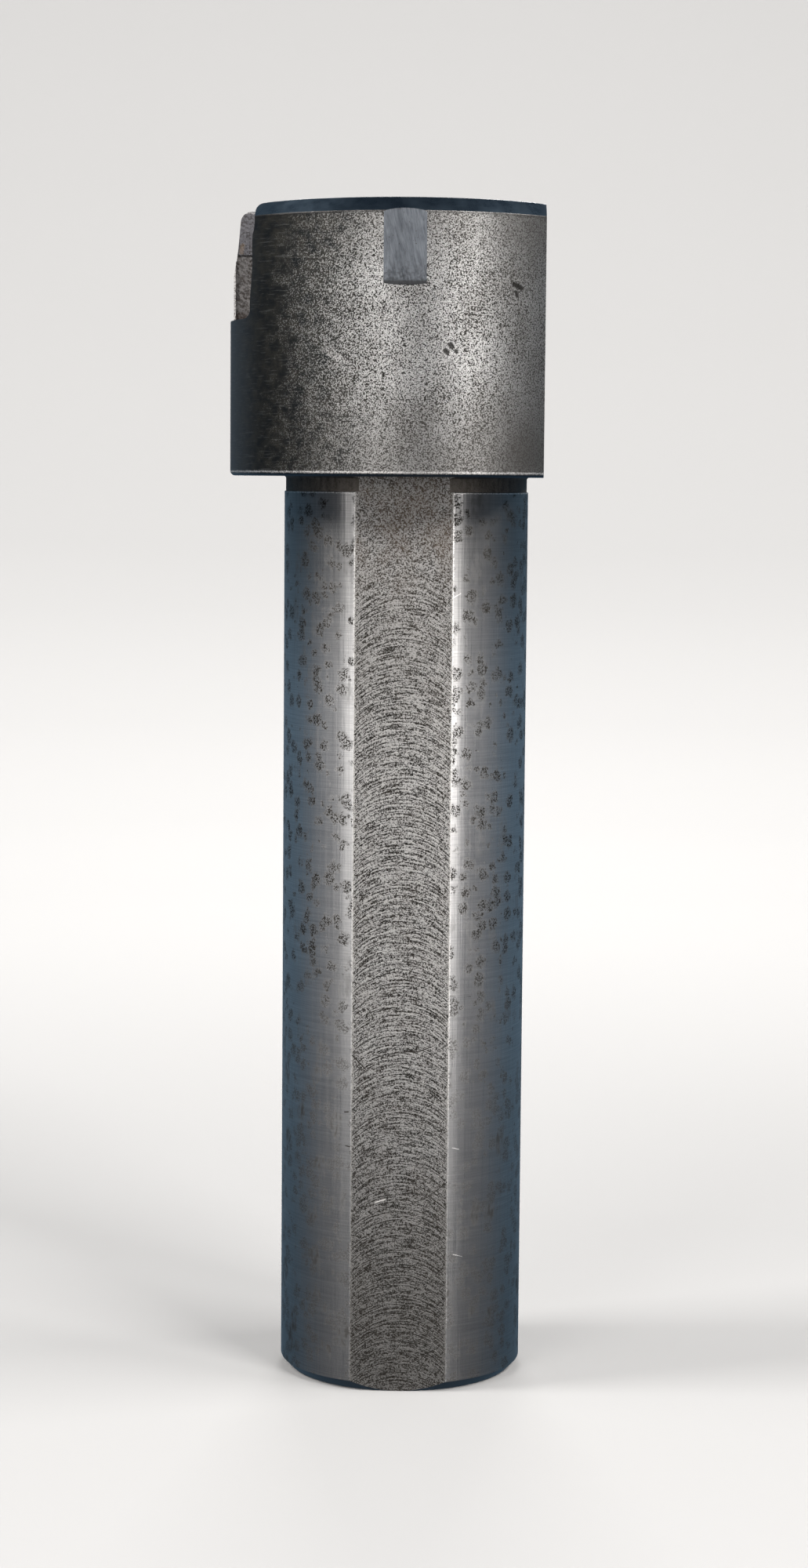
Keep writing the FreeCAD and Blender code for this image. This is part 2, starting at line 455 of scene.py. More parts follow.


# %% [markdown]
# Edges are where bare metal shines: they are knocked, rubbed, and carry the burr of
# the cutter. The bright line is also a painted highlight, for the light that a rounded
# edge would catch. The rim group turns a distance from an edge into a ragged line.

# %% Group: rim
RIM_FLOOR = 0.25
rim, begin, end = new_group(
    "rim", {"Place": ORIGIN, "Distance": 1.0, "Width": 0.2, "Ragged": 0.2, "Fineness": 2.5}, "Mask")
noisy = {"Vector": begin["Place"], "Scale": begin["Fineness"], "Detail": 2.0}
uneven = (add(rim, "TexNoise", noisy, "Fac") - 0.5) * begin["Ragged"]
from_edge = (abs(begin["Distance"]) + uneven * 4.0) / begin["Width"]
dotted = use(specks, Place=begin["Place"], Fineness=4.6, Level=0.47, Softness=0.07)
dotted = RIM_FLOOR + dotted * (1.0 - RIM_FLOOR)
join(smooth(from_edge, 1.1, 0.4) * dotted, end)


def edge_wear_and_highlight(place, coordinate, edge, width, ragged, fineness=2.5):
    """A ragged bright line, worn metal and a painted highlight, where a coordinate passes an edge's value.
    """
    distance = coordinate - edge
    return use(rim, Place=place, Distance=distance, Width=width, Ragged=ragged, Fineness=fineness)


print("scratch:", len(scratch.nodes), "nodes, rim:", len(rim.nodes), "nodes")

# %% [markdown]
# The round of the head is the oldest face: fine rust has eaten it all over, so it
# looks like grey salt and pepper, with sound metal left between the pits. Two sizes
# of specks make the pits, larger blotches make some places darker, and the few big
# pits and hairlines are put where the photograph shows them. Towards the tip the head
# is painted darker over the pits, mottled and crossed by hairlines: painted shade, with
# a painted cool reflection along its outermost edge. Its border is the x coordinate,
# shifted by noise. Painted shade also darkens the head low down, high up, on its far
# right and in a band under the front chamfer, and its back rim is worn metal with a
# painted highlight.

# %% Finish: pitted head
HEAD_MARKS = [
    ((7.1, -28.0, 168.8), (7.3, -28.0, 168.5), 0.60),
    ((6.3, -28.2, 167.9), (6.6, -28.2, 167.6), 0.55),
    ((7.9, -27.8, 167.9), (8.0, -27.8, 167.7), 0.38),
    ((16.9, -23.5, 178.4), (18.0, -22.6, 177.9), 0.55),
    ((17.2, -23.2, 177.2), (17.4, -23.1, 176.6), 0.42),
    ((10.1, -27.1, 173.5), (13.3, -25.7, 173.3), 0.09),
    ((16.3, -23.9, 168.3), (19.5, -21.3, 168.4), 0.09),
    ((18.5, -22.2, 170.7), (21.8, -19.0, 170.3), 0.08),
    ((6.1, -28.3, 186.5), (8.2, -27.7, 184.5), 0.10),
    ((-19.1, -21.7, 177.4), (-14.3, -25.1, 177.0), 0.08),
    ((-4.0, -28.6, 167.1), (-2.0, -28.9, 167.0), 0.09),
    ((-7.8, -27.9, 162.8), (-7.8, -27.9, 162.7), 0.24),
    ((-10.3, -27.1, 168.5), (-10.2, -27.1, 168.4), 0.16),
]
HEAD_SMUDGES = [
    ((-11.6, -26.5, 167.6), (-10.4, -27.0, 166.8), 0.9),
    ((-9.6, -27.3, 166.4), (-9.2, -27.4, 166.2), 0.6),
]
HEAD_PIT = (0.014, 0.013, 0.012)
HEAD_SOUND = (0.52, 0.52, 0.516)
HEAD_BLOTCH = (0.12, 0.114, 0.106)
HEAD_PAINTED_SHADE = (0.10, 0.096, 0.090)
HEAD_MOST_SHADE = 0.75
HEAD_RUBBED_AND_HIGHLIGHT = (0.60, 0.59, 0.58)
SHADED_SIDE_DARK = (0.016, 0.018, 0.020)
SHADED_SIDE_LIGHT = (0.044, 0.042, 0.036)
HAIRLINE = (0.13, 0.13, 0.125)
OUTERMOST_REFLECTION = (0.13, 0.14, 0.15)
SHADE_UNDER_CHAMFER = (0.02, 0.02, 0.021)
BIG_PIT = (0.012, 0.011, 0.010)
BIG_PIT_DEPTH = 2.5
HEAD_RELIEF = 0.008
BLOTCH_REACH = 4.5
MOTTLE_REACH = 5.0
SHADED_SIDE_LEAN = 2.2
pitted_head, tree, shader, place = steel("pitted_head")
x = axis(place, "X")
z = axis(place, "Z")
blotches = use(lines, Place=place, Squeeze=(0.15, 0.15, 0.11))
low_down = smooth(z, 167.0, 151.0)
high_up = smooth(z, 178.0, 188.0)
mottled = use(lines, Place=place, Squeeze=(0.45, 0.45, 0.6))
wander = (blotches - 0.5) * BLOTCH_REACH + (mottled - 0.5) * MOTTLE_REACH
# Painted shade: towards the tip the head is painted darker, and its pits fade into smeared lines.
leftwards = x + wander - high_up * SHADED_SIDE_LEAN
shaded_side = smooth(leftwards, -5.0, -17.5)
smeared = smooth(leftwards, -16.5, -24.5)
eaten = blotches * 0.07 + shaded_side * 0.08
pits = use(specks, Place=place, Fineness=4.4, Level=0.42 + eaten, Softness=0.025)
deep = use(specks, Place=place, Fineness=2.7, Level=0.295 + eaten, Softness=0.04)
grain = use(specks, Place=place, Fineness=6.6, Level=0.47, Softness=0.04)
sound = pits * deep * (0.36 + grain * 0.64)
around = use(lines, Place=place, Squeeze=(0.3, 0.3, 4.0))
muted = smooth(around, 0.4, 0.95) * 0.4 * (0.3 + pits * 0.7)
sound = blend_values(smeared, sound, muted)
big = marks(place, HEAD_MARKS)
# The back rim is worn metal and a painted highlight.
bottom_rim = edge_wear_and_highlight(place, z, 149.05, 0.22, 0.1)
smudge = marks(place, HEAD_SMUDGES) * (0.25 + pits * 0.75)
# Painted reflection: a cool grey along the outermost edge of the tip side.
outermost = smooth(x, -22.5, -28.5)
colour = blend(sound, HEAD_PIT, HEAD_SOUND)
colour = blend(blotches * 0.28, colour, HEAD_BLOTCH)
# Painted shade: the head is painted darker low down, high up and on its far right.
painted_shade = low_down * 0.46 + high_up * 0.32 + smooth(x, 10.0, 20.0) * 0.3
painted_shade = value("MINIMUM", painted_shade, HEAD_MOST_SHADE)
colour = blend(painted_shade, colour, HEAD_PAINTED_SHADE)
kept = 0.94 - (sound - smeared) * 0.4
shaded_side_colour = blend(mottled, SHADED_SIDE_DARK, SHADED_SIDE_LIGHT)
hairlines = smooth(around, 0.66, 0.95) * 0.4
shaded_side_colour = blend(hairlines, shaded_side_colour, HAIRLINE)
colour = blend(shaded_side * kept, colour, shaded_side_colour)
colour = blend(outermost * 0.5, colour, OUTERMOST_REFLECTION)
colour = blend(smudge * 0.4, colour, HEAD_RUBBED_AND_HIGHLIGHT)
# Painted shade: a dark band just under the front chamfer.
shade_under_chamfer = smooth(z, 188.7, 189.25) * 0.75
colour = blend(shade_under_chamfer, colour, SHADE_UNDER_CHAMFER)
colour = blend(bottom_rim, colour, HEAD_RUBBED_AND_HIGHLIGHT)
colour = blend(big * 0.9, colour, BIG_PIT)
roughness = 0.48 - sound * 0.1
height = sound - big * BIG_PIT_DEPTH
finish_with(shader, colour, roughness, height, HEAD_RELIEF)
print("pitted head:", len(tree.nodes), "nodes,", len(HEAD_MARKS), "large pits and scratches")

# %% [markdown]
# The shank was ground to size between centres: it still has the satin shine and the
# fine lines round it, crossed by lines from sliding in and out of its holder. A
# ground face spreads a reflection across its lines and not along them, and the
# shader's anisotropy does the same. Stains of two sizes cover it.

# %% Finish: ground shank
SHANK_MARKS_BRIGHT = [
    ((7.9, -18.4, 129.3), (9.1, -17.8, 130.0), 0.09),
    ((8.6, -18.1, 40.35), (9.6, -17.5, 40.0), 0.09),
    ((8.9, -17.9, 22.7), (10.3, -17.1, 22.2), 0.08),
    ((7.4, -18.6, 141.9), (8.7, -18.0, 142.2), 0.06),
]
SHANK_MARKS_DARK = [
    ((7.9, -18.4, 65.3), (11.3, -16.5, 64.9), 0.07),
    ((-14.6, -13.7, 131.4), (-8.1, -18.3, 131.5), 0.06),
    ((-16.5, -11.3, 115.7), (-13.2, -15.0, 115.9), 0.06),
    ((-8.7, -18.0, 40.5), (-7.9, -18.4, 40.35), 0.12),
    ((-8.9, -17.9, 46.0), (-8.3, -18.2, 46.1), 0.14),
]
SHANK_DARK = (0.57, 0.57, 0.57)
SHANK_LIGHT = (0.90, 0.89, 0.88)
SHANK_SLID = (0.50, 0.50, 0.505)
SHANK_CLOUD = (0.50, 0.50, 0.51)
SHANK_PAINTED_SHADE = (0.02, 0.02, 0.02)
STAIN = (0.035, 0.032, 0.028)
DARK_SCRATCH = (0.08, 0.07, 0.06)
BRIGHT_SCRATCH_AND_HIGHLIGHT = (0.74, 0.73, 0.72)
SHANK_RELIEF = 0.010
ground_shank, tree, shader, place = steel("ground_shank", anisotropy=0.65)
x = axis(place, "X")
z = axis(place, "Z")
around = use(lines, Place=place, Squeeze=(0.1, 0.1, 6.0))
lengthwise = use(lines, Place=place, Squeeze=(3.0, 3.0, 0.05))
broad = use(lines, Place=place, Squeeze=(0.9, 0.9, 0.02))
clouds = use(lines, Place=place, Squeeze=(0.12, 0.12, 0.04))
upper = smooth(z, 45.0, 75.0)
stretched = add(tree, "Mapping", {"Vector": place, "Scale": (1.0, 1.0, 0.55)}, out="Vector")
dotted = use(stains, Place=place, Spacing=2.25, Size=1.36, Fineness=4.3, Blur=0.04)
soaked = use(stains, Place=stretched, Spacing=4.2, Size=1.45, Fineness=1.3, Blur=0.14)
soaked = soaked * (0.75 - upper * 0.4)
dotted = dotted * (0.66 + upper * 0.34)
stained = larger(dotted, soaked)
# The rims at the top and along the flat are worn metal and a painted highlight.
top_rim = edge_wear_and_highlight(place, z, 145.85, 0.16, 0.05)
flat_rim = edge_wear_and_highlight(place, abs(x), 7.85, 0.14, 0.16, 3.5) * smooth(axis(place, "Y"), -17.0, -17.6)
flat_rim = flat_rim * (0.3 + smooth(z, 18.0, 75.0) * 0.7)
bright = larger(larger(top_rim, flat_rim), marks(place, SHANK_MARKS_BRIGHT))
colour = blend(around, SHANK_DARK, SHANK_LIGHT)
colour = blend(lengthwise * 0.6, colour, SHANK_SLID)
colour = blend(clouds * 0.25, colour, SHANK_CLOUD)
# Painted shade: the shank is painted darker under the head and towards its foot.
painted_shade = smooth(z, 106.0, 146.0) * 0.63 + smooth(z, 98.0, -8.0) * 0.52
colour = blend(painted_shade, colour, SHANK_PAINTED_SHADE)
colour = blend(stained, colour, STAIN)
colour = blend(marks(place, SHANK_MARKS_DARK), colour, DARK_SCRATCH)
colour = blend(bright, colour, BRIGHT_SCRATCH_AND_HIGHLIGHT)
roughness = 0.27 + lengthwise * 0.06 + stained * 0.25 + bright * 0.15
height = around * 0.15 + lengthwise * 0.35 + broad * 1.0 - stained * 0.3
finish_with(shader, colour, roughness, height, SHANK_RELIEF)
print("ground shank:", len(tree.nodes), "nodes")

# %% [markdown]
# The clamping flat was milled in a hurry. Each turn of the cutter tore a row of short
# strokes along an arc, and moved on by its feed. Here the arcs of the cutter's own
# radius become straight rows in new coordinates: along the arc, and up to it. Noise
# stretched along the rows makes the strokes.

# %% Group: cutter arcs
BACK_ARCS_APART = 5.0
arcs, begin, end = new_group(
    "cutter_arcs", {"Place": ORIGIN, "Radius": 11.0, "Turned": 1.0, "Squeeze": (1.0, 1.0, 1.0)}, "Strokes")
ways = add(arcs, "SeparateXYZ", {"Vector": begin["Place"]})
across = Wire(ways.outputs["X"])
squared = begin["Radius"] * begin["Radius"] - across * across
rise = value("SQRT", larger(squared, 0.01))
row = Wire(ways.outputs["Z"]) - rise * begin["Turned"]
turned_by = value("ARCSINE", across / begin["Radius"])
sweep = begin["Radius"] * turned_by
rows = add(arcs, "CombineXYZ", {"X": sweep, "Y": row, "Z": begin["Turned"] * BACK_ARCS_APART}, 0)
join(use(lines, Place=rows, Squeeze=begin["Squeeze"]), end)
print("cutter arcs:", len(arcs.nodes), "nodes")

# %% [markdown]
# Three sets of arcs make the flat. Broad ones are the feed marks, fine ones the torn
# strokes inside them. Low on the shank the back of the cutter rubbed again, so a third
# set is turned over and crosses the first. Towards the head the arcs fade under a thin
# brown rust, and the edges of the flat keep a ragged bright burr, which is partly a
# painted highlight. Painted shade darkens the flat towards its foot and below the head.

# %% Finish: milled flat
FLAT_HALF = 7.79
CUTTER_RADIUS = 10.5
FLAT_MARKS_BRIGHT = [((-3.8, -18.4, 31.3), (-2.2, -18.4, 31.8), 0.11)]
FLAT_MARKS_DARK = [
    ((1.4, -18.4, 30.9), (4.6, -18.4, 32.2), 0.09),
    ((4.6, -18.4, 32.2), (7.7, -18.4, 34.7), 0.09),
    ((-7.7, -18.4, 55.4), (-5.6, -18.4, 53.2), 0.13),
    ((-4.3, -18.4, 55.6), (-1.8, -18.4, 54.9), 0.10),
    ((-0.8, -18.4, 56.0), (3.0, -18.4, 56.1), 0.11),
    ((3.0, -18.4, 56.1), (5.0, -18.4, 56.9), 0.10),
    ((-7.4, -18.4, 35.8), (-4.4, -18.4, 33.0), 0.08),
]
FLAT_GROOVE = (0.022, 0.021, 0.019)
FLAT_RIDGE = (0.50, 0.495, 0.485)
FLAT_RUST = (0.15, 0.118, 0.095)
FLAT_FLECK = (0.58, 0.575, 0.565)
FLAT_BURR_AND_HIGHLIGHT = (0.55, 0.54, 0.52)
FLAT_PAINTED_SHADE = (0.055, 0.050, 0.044)
FLAT_SCRATCH = (0.05, 0.045, 0.04)
FLAT_NICK = (0.95, 0.93, 0.9)
FLAT_RELIEF = 0.022
milled_flat, tree, shader, place = steel("milled_flat")
x = axis(place, "X")
z = axis(place, "Z")
forward_arcs = use(arcs, Place=place, Radius=CUTTER_RADIUS, Turned=1.0, Squeeze=(0.26, 3.5, 1.0))
back_arcs = use(arcs, Place=place, Radius=CUTTER_RADIUS, Turned=-1.0, Squeeze=(0.3, 2.4, 1.0))
fine_arcs = use(arcs, Place=place, Radius=CUTTER_RADIUS, Turned=1.0, Squeeze=(2.2, 6.4, 1.0))
torn = use(specks, Place=place, Fineness=4.8, Level=0.5, Softness=0.045)
flecks = use(specks, Place=place, Fineness=4.6, Level=0.64, Softness=0.05)
top_zone = smooth(z, 126.0, 140.0)
low_zone = smooth(z, 45.0, 25.0)
below_top = 1.0 - top_zone
grooves = smooth(forward_arcs, 0.5, 0.2)
grooves = larger(grooves, smooth(back_arcs, 0.34, 0.14) * low_zone) * below_top
ridges = smooth(forward_arcs, 0.56, 0.86) * below_top
texture = fine_arcs * 0.54 + torn * 0.46
surface = texture * (1.0 - grooves * 0.56) + ridges * 0.34
# The burr along the flat's edges is worn metal and a painted highlight.
ragged = edge_wear_and_highlight(place, abs(x), FLAT_HALF, 0.24, 0.22, 3.4)
rusty = use(lines, Place=place, Squeeze=(0.25, 0.25, 0.18))
rusty = rusty * (0.12 + top_zone * 0.5) * (1.3 - torn * 0.6)
# Painted shade: the flat is painted darker towards its foot and below the head.
flat_painted_shade = smooth(z, 70.0, 2.0) * 0.6 + smooth(z, 98.0, 122.0) * 0.24
colour = blend(smooth(surface, 0.18, 0.74), FLAT_GROOVE, FLAT_RIDGE)
colour = blend(rusty, colour, FLAT_RUST)
colour = blend(flecks * 0.6, colour, FLAT_FLECK)
colour = blend(ragged, colour, FLAT_BURR_AND_HIGHLIGHT)
colour = blend(flat_painted_shade, colour, FLAT_PAINTED_SHADE)
colour = blend(marks(place, FLAT_MARKS_DARK), colour, FLAT_SCRATCH)
colour = blend(marks(place, FLAT_MARKS_BRIGHT), colour, FLAT_NICK)
roughness = 0.58 - flecks * 0.12
finish_with(shader, colour, roughness, surface, FLAT_RELIEF)
print("milled flat:", len(tree.nodes), "nodes")

# %% [markdown]
# The chamfers were turned last, with a fine feed, and stay smoother than the faces
# beside them. One recipe with rings makes three finishes: the dark front chamfer,
# whose blue is a painted reflection of the cool surroundings, the plain foot chamfer,
# and the end faces, which no light in the photograph reaches. Noise that is read by
# height and distance from the axis alone makes rings.

# %% Finish: turned chamfers and end faces
TURNED_SPOT = (0.05, 0.047, 0.043)
TURNED_RELIEF = 0.004


def turned_finish(name, dark, light, rough, spotted):
    """A fine turned face with rings about the axis."""
    material, tree, shader, place = steel(name, anisotropy=0.4)
    flat_place = vector("MULTIPLY", place, (1.0, 1.0, 0.0))
    out = add(tree, "VectorMath", {0: flat_place}, out="Value", operation="LENGTH")
    height_up = axis(place, "Z")
    ring_place = add(tree, "CombineXYZ", {"X": out, "Y": height_up, "Z": 0.0}, out=0)
    rings = use(lines, Place=ring_place, Squeeze=(5.0, 5.0, 1.0))
    worn = use(lines, Place=place, Squeeze=(0.22, 0.22, 0.3))
    spots = use(stains, Place=place, Spacing=4.0, Size=1.0, Fineness=2.4, Blur=0.08)
    colour = blend(rings * 0.6 + worn * 0.4, dark, light)
    colour = blend(spots * spotted, colour, TURNED_SPOT)
    roughness = rough + worn * 0.12
    finish_with(shader, colour, roughness, rings, TURNED_RELIEF)
    return material


# The front chamfer's blue is a painted reflection of the cool surroundings.
front_chamfer = turned_finish("front_chamfer", (0.056, 0.080, 0.105), (0.074, 0.100, 0.128), 0.24, 0.25)
foot_chamfer = turned_finish("foot_chamfer", (0.11, 0.115, 0.125), (0.18, 0.187, 0.20), 0.28, 0.7)
turned_end = turned_finish("turned_end", (0.15, 0.152, 0.155), (0.25, 0.25, 0.25), 0.44, 0.7)
print("turned finishes:", front_chamfer.name, foot_chamfer.name, turned_end.name)

# %% [markdown]
# The undercut was never finished and is out of reach of a rag: it is dull and brown.

# %% Finish: undercut
DIRT_DARK = (0.052, 0.045, 0.038)
DIRT_LIGHT = (0.14, 0.127, 0.112)
DIRT_BIT = (0.15, 0.14, 0.13)
UNDERCUT_RELIEF = 0.02
rough_undercut, tree, shader, place = steel("rough_undercut")
dirt = use(lines, Place=place, Squeeze=(1.2, 1.2, 0.4))
bits = use(specks, Place=place, Fineness=3.0, Level=0.5, Softness=0.1)
colour = blend(dirt, DIRT_DARK, DIRT_LIGHT)
colour = blend(bits * 0.3, colour, DIRT_BIT)
roughness = 0.48 + dirt * 0.15
finish_with(shader, colour, roughness, bits, UNDERCUT_RELIEF)
print("undercut:", len(tree.nodes), "nodes")

# %% [markdown]
# Hollow and chip pocket were ground by hand: a bluish satin with fine scratches that
# lean a little. The Mapping node leans the lines by turning the place before it is
# squeezed. Old dirt lies in the foot of each, where a rag doesn't reach, and painted
# shade darkens the foot and its corner.

# %% Finish: hand-ground faces
HOLLOW_LEAN = math.radians(12.0)
POCKET_LEAN = math.radians(-35.0)
HOLLOW_FOOT_HEIGHT = 177.87
POCKET_FOOT_HEIGHT = 172.8
GROUND_SPOT = (0.06, 0.057, 0.054)
FOOT_DIRT_AND_SHADE = (0.02, 0.019, 0.018)
GROUND_RELIEF = 0.006


def hand_ground(name, lean, dark, light, rough, foot):
    """Satin with fine scratches that lean by an angle, dirty at its foot and painted darker there as
    shade.
    """
    material, tree, shader, place = steel(name)
    leaning_place = add(tree, "Mapping", {"Vector": place, "Rotation": (0.0, lean, 0.0)}, 0)
    fine = use(lines, Place=leaning_place, Squeeze=(3.8, 3.8, 0.4))
    soft = use(lines, Place=place, Squeeze=(0.8, 0.8, 0.4))
    bits = use(specks, Place=place, Fineness=3.0, Level=0.27, Softness=0.03)
    colour = blend(fine * 0.65 + soft * 0.35, dark, light)
    colour = blend(1.0 - bits, colour, GROUND_SPOT)
    mottled = use(specks, Place=place, Fineness=1.9, Level=0.5, Softness=0.2)
    height_up = axis(place, "Z")
    # Dirt and painted shade: the lowest 5 mm are painted darker in patches, the corner itself fully.
    low = smooth(height_up, foot + 5.0, foot + 0.6) * mottled * 0.7
    corner = smooth(height_up, foot + 1.1, foot + 0.5)
    dirty = larger(low, corner) * 0.8
    colour = blend(dirty, colour, FOOT_DIRT_AND_SHADE)
    roughness = rough + soft * 0.08
    finish_with(shader, colour, roughness, fine, GROUND_RELIEF)
    return material


ground_hollow = hand_ground("ground_hollow", HOLLOW_LEAN, (0.080, 0.089, 0.103), (0.188, 0.205, 0.229),
                            0.42, HOLLOW_FOOT_HEIGHT)
ground_pocket = hand_ground("ground_pocket", POCKET_LEAN, (0.16, 0.165, 0.17), (0.28, 0.28, 0.285),
                            0.40, POCKET_FOOT_HEIGHT)
print("hand-ground finishes:", ground_hollow.name, ground_pocket.name)

# %% [markdown]
# Carbide is darker than steel and dull. Under the broken flake it is a marble of grey
# and brown, burnt darker at its lower end, and a little braze has run out over it.

# %% Finish: carbide
FLAKE_LENGTH = 11.2 * MM
FLAKE_TOP = TIP_LOW.z + FLAKE_LENGTH
CARBIDE_DARK = (0.092, 0.091, 0.099)
CARBIDE_LIGHT = (0.160, 0.158, 0.170)
BROKEN_DARK = (0.075, 0.068, 0.064)
BROKEN_LIGHT = (0.195, 0.188, 0.187)
BURNT = (0.06, 0.042, 0.036)
CARBIDE_PORE = (0.035, 0.03, 0.027)
BRAZE = (0.24, 0.16, 0.085)
CARBIDE_RUBBED_AND_HIGHLIGHT = (0.62, 0.61, 0.60)
CARBIDE_RELIEF = 0.02
VEIN_LEAN = math.radians(-35.0)
tip_carbide, tree, shader, place = steel("tip_carbide")
x = axis(place, "X")
z = axis(place, "Z")
leaning_place = add(tree, "Mapping", {"Vector": place, "Rotation": (0.0, VEIN_LEAN, 0.0)}, out=0)
veins = use(lines, Place=leaning_place, Squeeze=(1.3, 1.7, 2.6))
bits = use(specks, Place=place, Fineness=3.6, Level=0.42, Softness=0.06)
flaked = FLAKE_TOP / MM
broken = smooth(z, flaked + 0.1, flaked - 0.15)
burnt = smooth(z, 175.6, 174.0)
colour = blend(veins, CARBIDE_DARK, CARBIDE_LIGHT)
marbled = blend(smooth(veins, 0.1, 0.8), BROKEN_DARK, BROKEN_LIGHT)
colour = blend(broken, colour, marbled)
colour = blend(burnt * 0.6, colour, BURNT)
colour = blend((1.0 - bits) * 0.6, colour, CARBIDE_PORE)
brazed = use(scratch, Place=place, Start=(-27.5, 3.5, 184.9), End=(-27.3, 3.5, 186.0), Width=0.5)
colour = blend(brazed * 0.28, colour, BRAZE)
# The rims along the tip's edges are worn metal and a painted highlight.
inner = edge_wear_and_highlight(place, x, -25.0, 0.25, 0.14)
land = edge_wear_and_highlight(place, x, -28.62, 0.24, 0.12) * smooth(z, 182.8, 181.8)
top_rim = edge_wear_and_highlight(place, z, 191.3, 0.2, 0.12)
rubbed_and_highlight = larger(larger(inner, top_rim) * 0.45, land)
colour = blend(rubbed_and_highlight, colour, CARBIDE_RUBBED_AND_HIGHLIGHT)
roughness = 0.38 + broken * 0.1
height = veins + bits * 0.5
finish_with(shader, colour, roughness, height, CARBIDE_RELIEF)
print("carbide:", len(tree.nodes), "nodes")

# %% [markdown]
# The bar starts as it does on a lathe: half of its section is drawn, with the centre
# holes in both ends, and spun about the axis. The corners that the lathe and years of
# use have softened are bevelled on the drawn line, before the spin, which is the
# cheapest place to round a ring. After the spin each face takes its finish from its
# height and its slope.

# %% Turned blank
SHANK_RADIUS = 20.0 * MM
SHANK_LENGTH = 146.0 * MM
SHANK_CHAMFER = 1.6 * MM
UNDERCUT_RADIUS = 19.78 * MM
UNDERCUT_ROOT = 0.4 * MM
HEAD_BACK = 148.4 * MM
HEAD_BACK_CHAMFER = 0.48 * MM
HEAD_FRONT_CHAMFER = 2.3 * MM
HEAD_RADIUS = -BODY_LOW.x
HEAD_FRONT = BODY_HIGH.z
PILOT_RADIUS = 2.0 * MM
MOUTH_RADIUS = 4.5 * MM
TURN_STEPS = 360
HALF_CONE = math.radians(30)
HALF_POINT = math.radians(59)
FACING_SLOPE = 0.95
CHAMFER_SLOPE = 0.5
CONE_DEPTH = (MOUTH_RADIUS - PILOT_RADIUS) / math.tan(HALF_CONE)
PILOT_DEPTH = CONE_DEPTH + 4.5 * MM
POINT_DEPTH = PILOT_DEPTH + PILOT_RADIUS / math.tan(HALF_POINT)

finishes = [ground_shank, milled_flat, pitted_head, front_chamfer, foot_chamfer, turned_end,
            rough_undercut, ground_hollow, ground_pocket]
finish_number = {finish.name: n for n, finish in enumerate(finishes)}

hole = [(0.0, POINT_DEPTH), (PILOT_RADIUS, PILOT_DEPTH), (PILOT_RADIUS, CONE_DEPTH), (MOUTH_RADIUS, 0.0)]
root = [(UNDERCUT_RADIUS + UNDERCUT_ROOT * (1 - math.cos(math.radians(a))),
         HEAD_BACK - UNDERCUT_ROOT * (1 - math.sin(math.radians(a)))) for a in range(0, 91, 15)]


def softened(points, radius):
    """The points with each inner corner cut by a small chamfer of about radius."""
    eased = [points[0]]
    for before, here, after in zip(points, points[1:], points[2:]):
        here, before, after = Vector(here), Vector(before), Vector(after)
        for other in (before, after):
            reach = min(radius, (other - here).length * 0.4)
            eased.append(tuple(here + (other - here).normalized() * reach))
    return eased + [points[-1]]


outside = softened([
    (MOUTH_RADIUS, 0.0),
    (SHANK_RADIUS - SHANK_CHAMFER, 0.0),
    (SHANK_RADIUS, SHANK_CHAMFER),
    (SHANK_RADIUS, SHANK_LENGTH),
    (UNDERCUT_RADIUS, SHANK_LENGTH),
], 0.10 * MM)
head_side = softened([
    root[-1],
    (HEAD_RADIUS - HEAD_BACK_CHAMFER, HEAD_BACK),
    (HEAD_RADIUS, HEAD_BACK + HEAD_BACK_CHAMFER),
    (HEAD_RADIUS, HEAD_FRONT - HEAD_FRONT_CHAMFER),
    (HEAD_RADIUS - HEAD_FRONT_CHAMFER, HEAD_FRONT),
    (MOUTH_RADIUS, HEAD_FRONT),
], 0.16 * MM)
upper_hole = [(r, HEAD_FRONT - depth) for r, depth in reversed(hole)]
blank_line = hole[:-1] + outside + root + head_side[1:-1] + upper_hole

blank_bm = bmesh.new()
spun(blank_bm, blank_line, TURN_STEPS)
for face in blank_bm.faces:
    middle = face.calc_center_median()
    radius = math.hypot(middle.x, middle.y)
    slope = abs(face.normal.z)
    if radius < MOUTH_RADIUS or slope > FACING_SLOPE:
        finish = turned_end
    elif middle.z < SHANK_CHAMFER:
        finish = foot_chamfer
    elif middle.z < SHANK_LENGTH:
        finish = ground_shank
    elif middle.z < HEAD_BACK:
        finish = rough_undercut
    elif slope > CHAMFER_SLOPE:
        finish = front_chamfer
    else:
        finish = pitted_head
    face.material_index = finish_number[finish.name]
bar = new_object("bar", blank_bm)
for finish in finishes:
    bar.data.materials.append(finish)
print("blank", len(bar.data.polygons), "faces")

# %% [markdown]
# Everything else on the bar is stock taken away. Each cutter is a small closed solid
# with the finish that it leaves, and a Boolean modifier cuts with it and hands its
# finish to the new faces.

# %% Helper for cuts
OVER = 2.0 * MM


def cut(body, cutter, operation="DIFFERENCE"):
    """Cuts body with a cutter object, keeps the result as its mesh and drops the cutter."""
    modifier = body.modifiers.new("cut", "BOOLEAN")
    modifier.object = cutter
    modifier.operation = operation
    modifier.solver = "EXACT"
    modifier.material_mode = "TRANSFER"
    depsgraph = bpy.context.evaluated_depsgraph_get()
    shaped = bpy.data.meshes.new_from_object(body.evaluated_get(depsgraph), depsgraph=depsgraph)
    body.modifiers.clear()
    body.data = shaped
    bpy.data.objects.remove(cutter)


def block(name, low, high, finish):
    """A box cutter between two corners."""
    bm = bmesh.new()
    low, high = Vector(low), Vector(high)
    size = high - low
    place = Matrix.Translation((low + high) / 2) @ Matrix.Diagonal(size).to_4x4()
    bmesh.ops.create_cube(bm, size=1.0, matrix=place)
    made = new_object(name, bm)
    made.data.materials.append(finish)
    return made


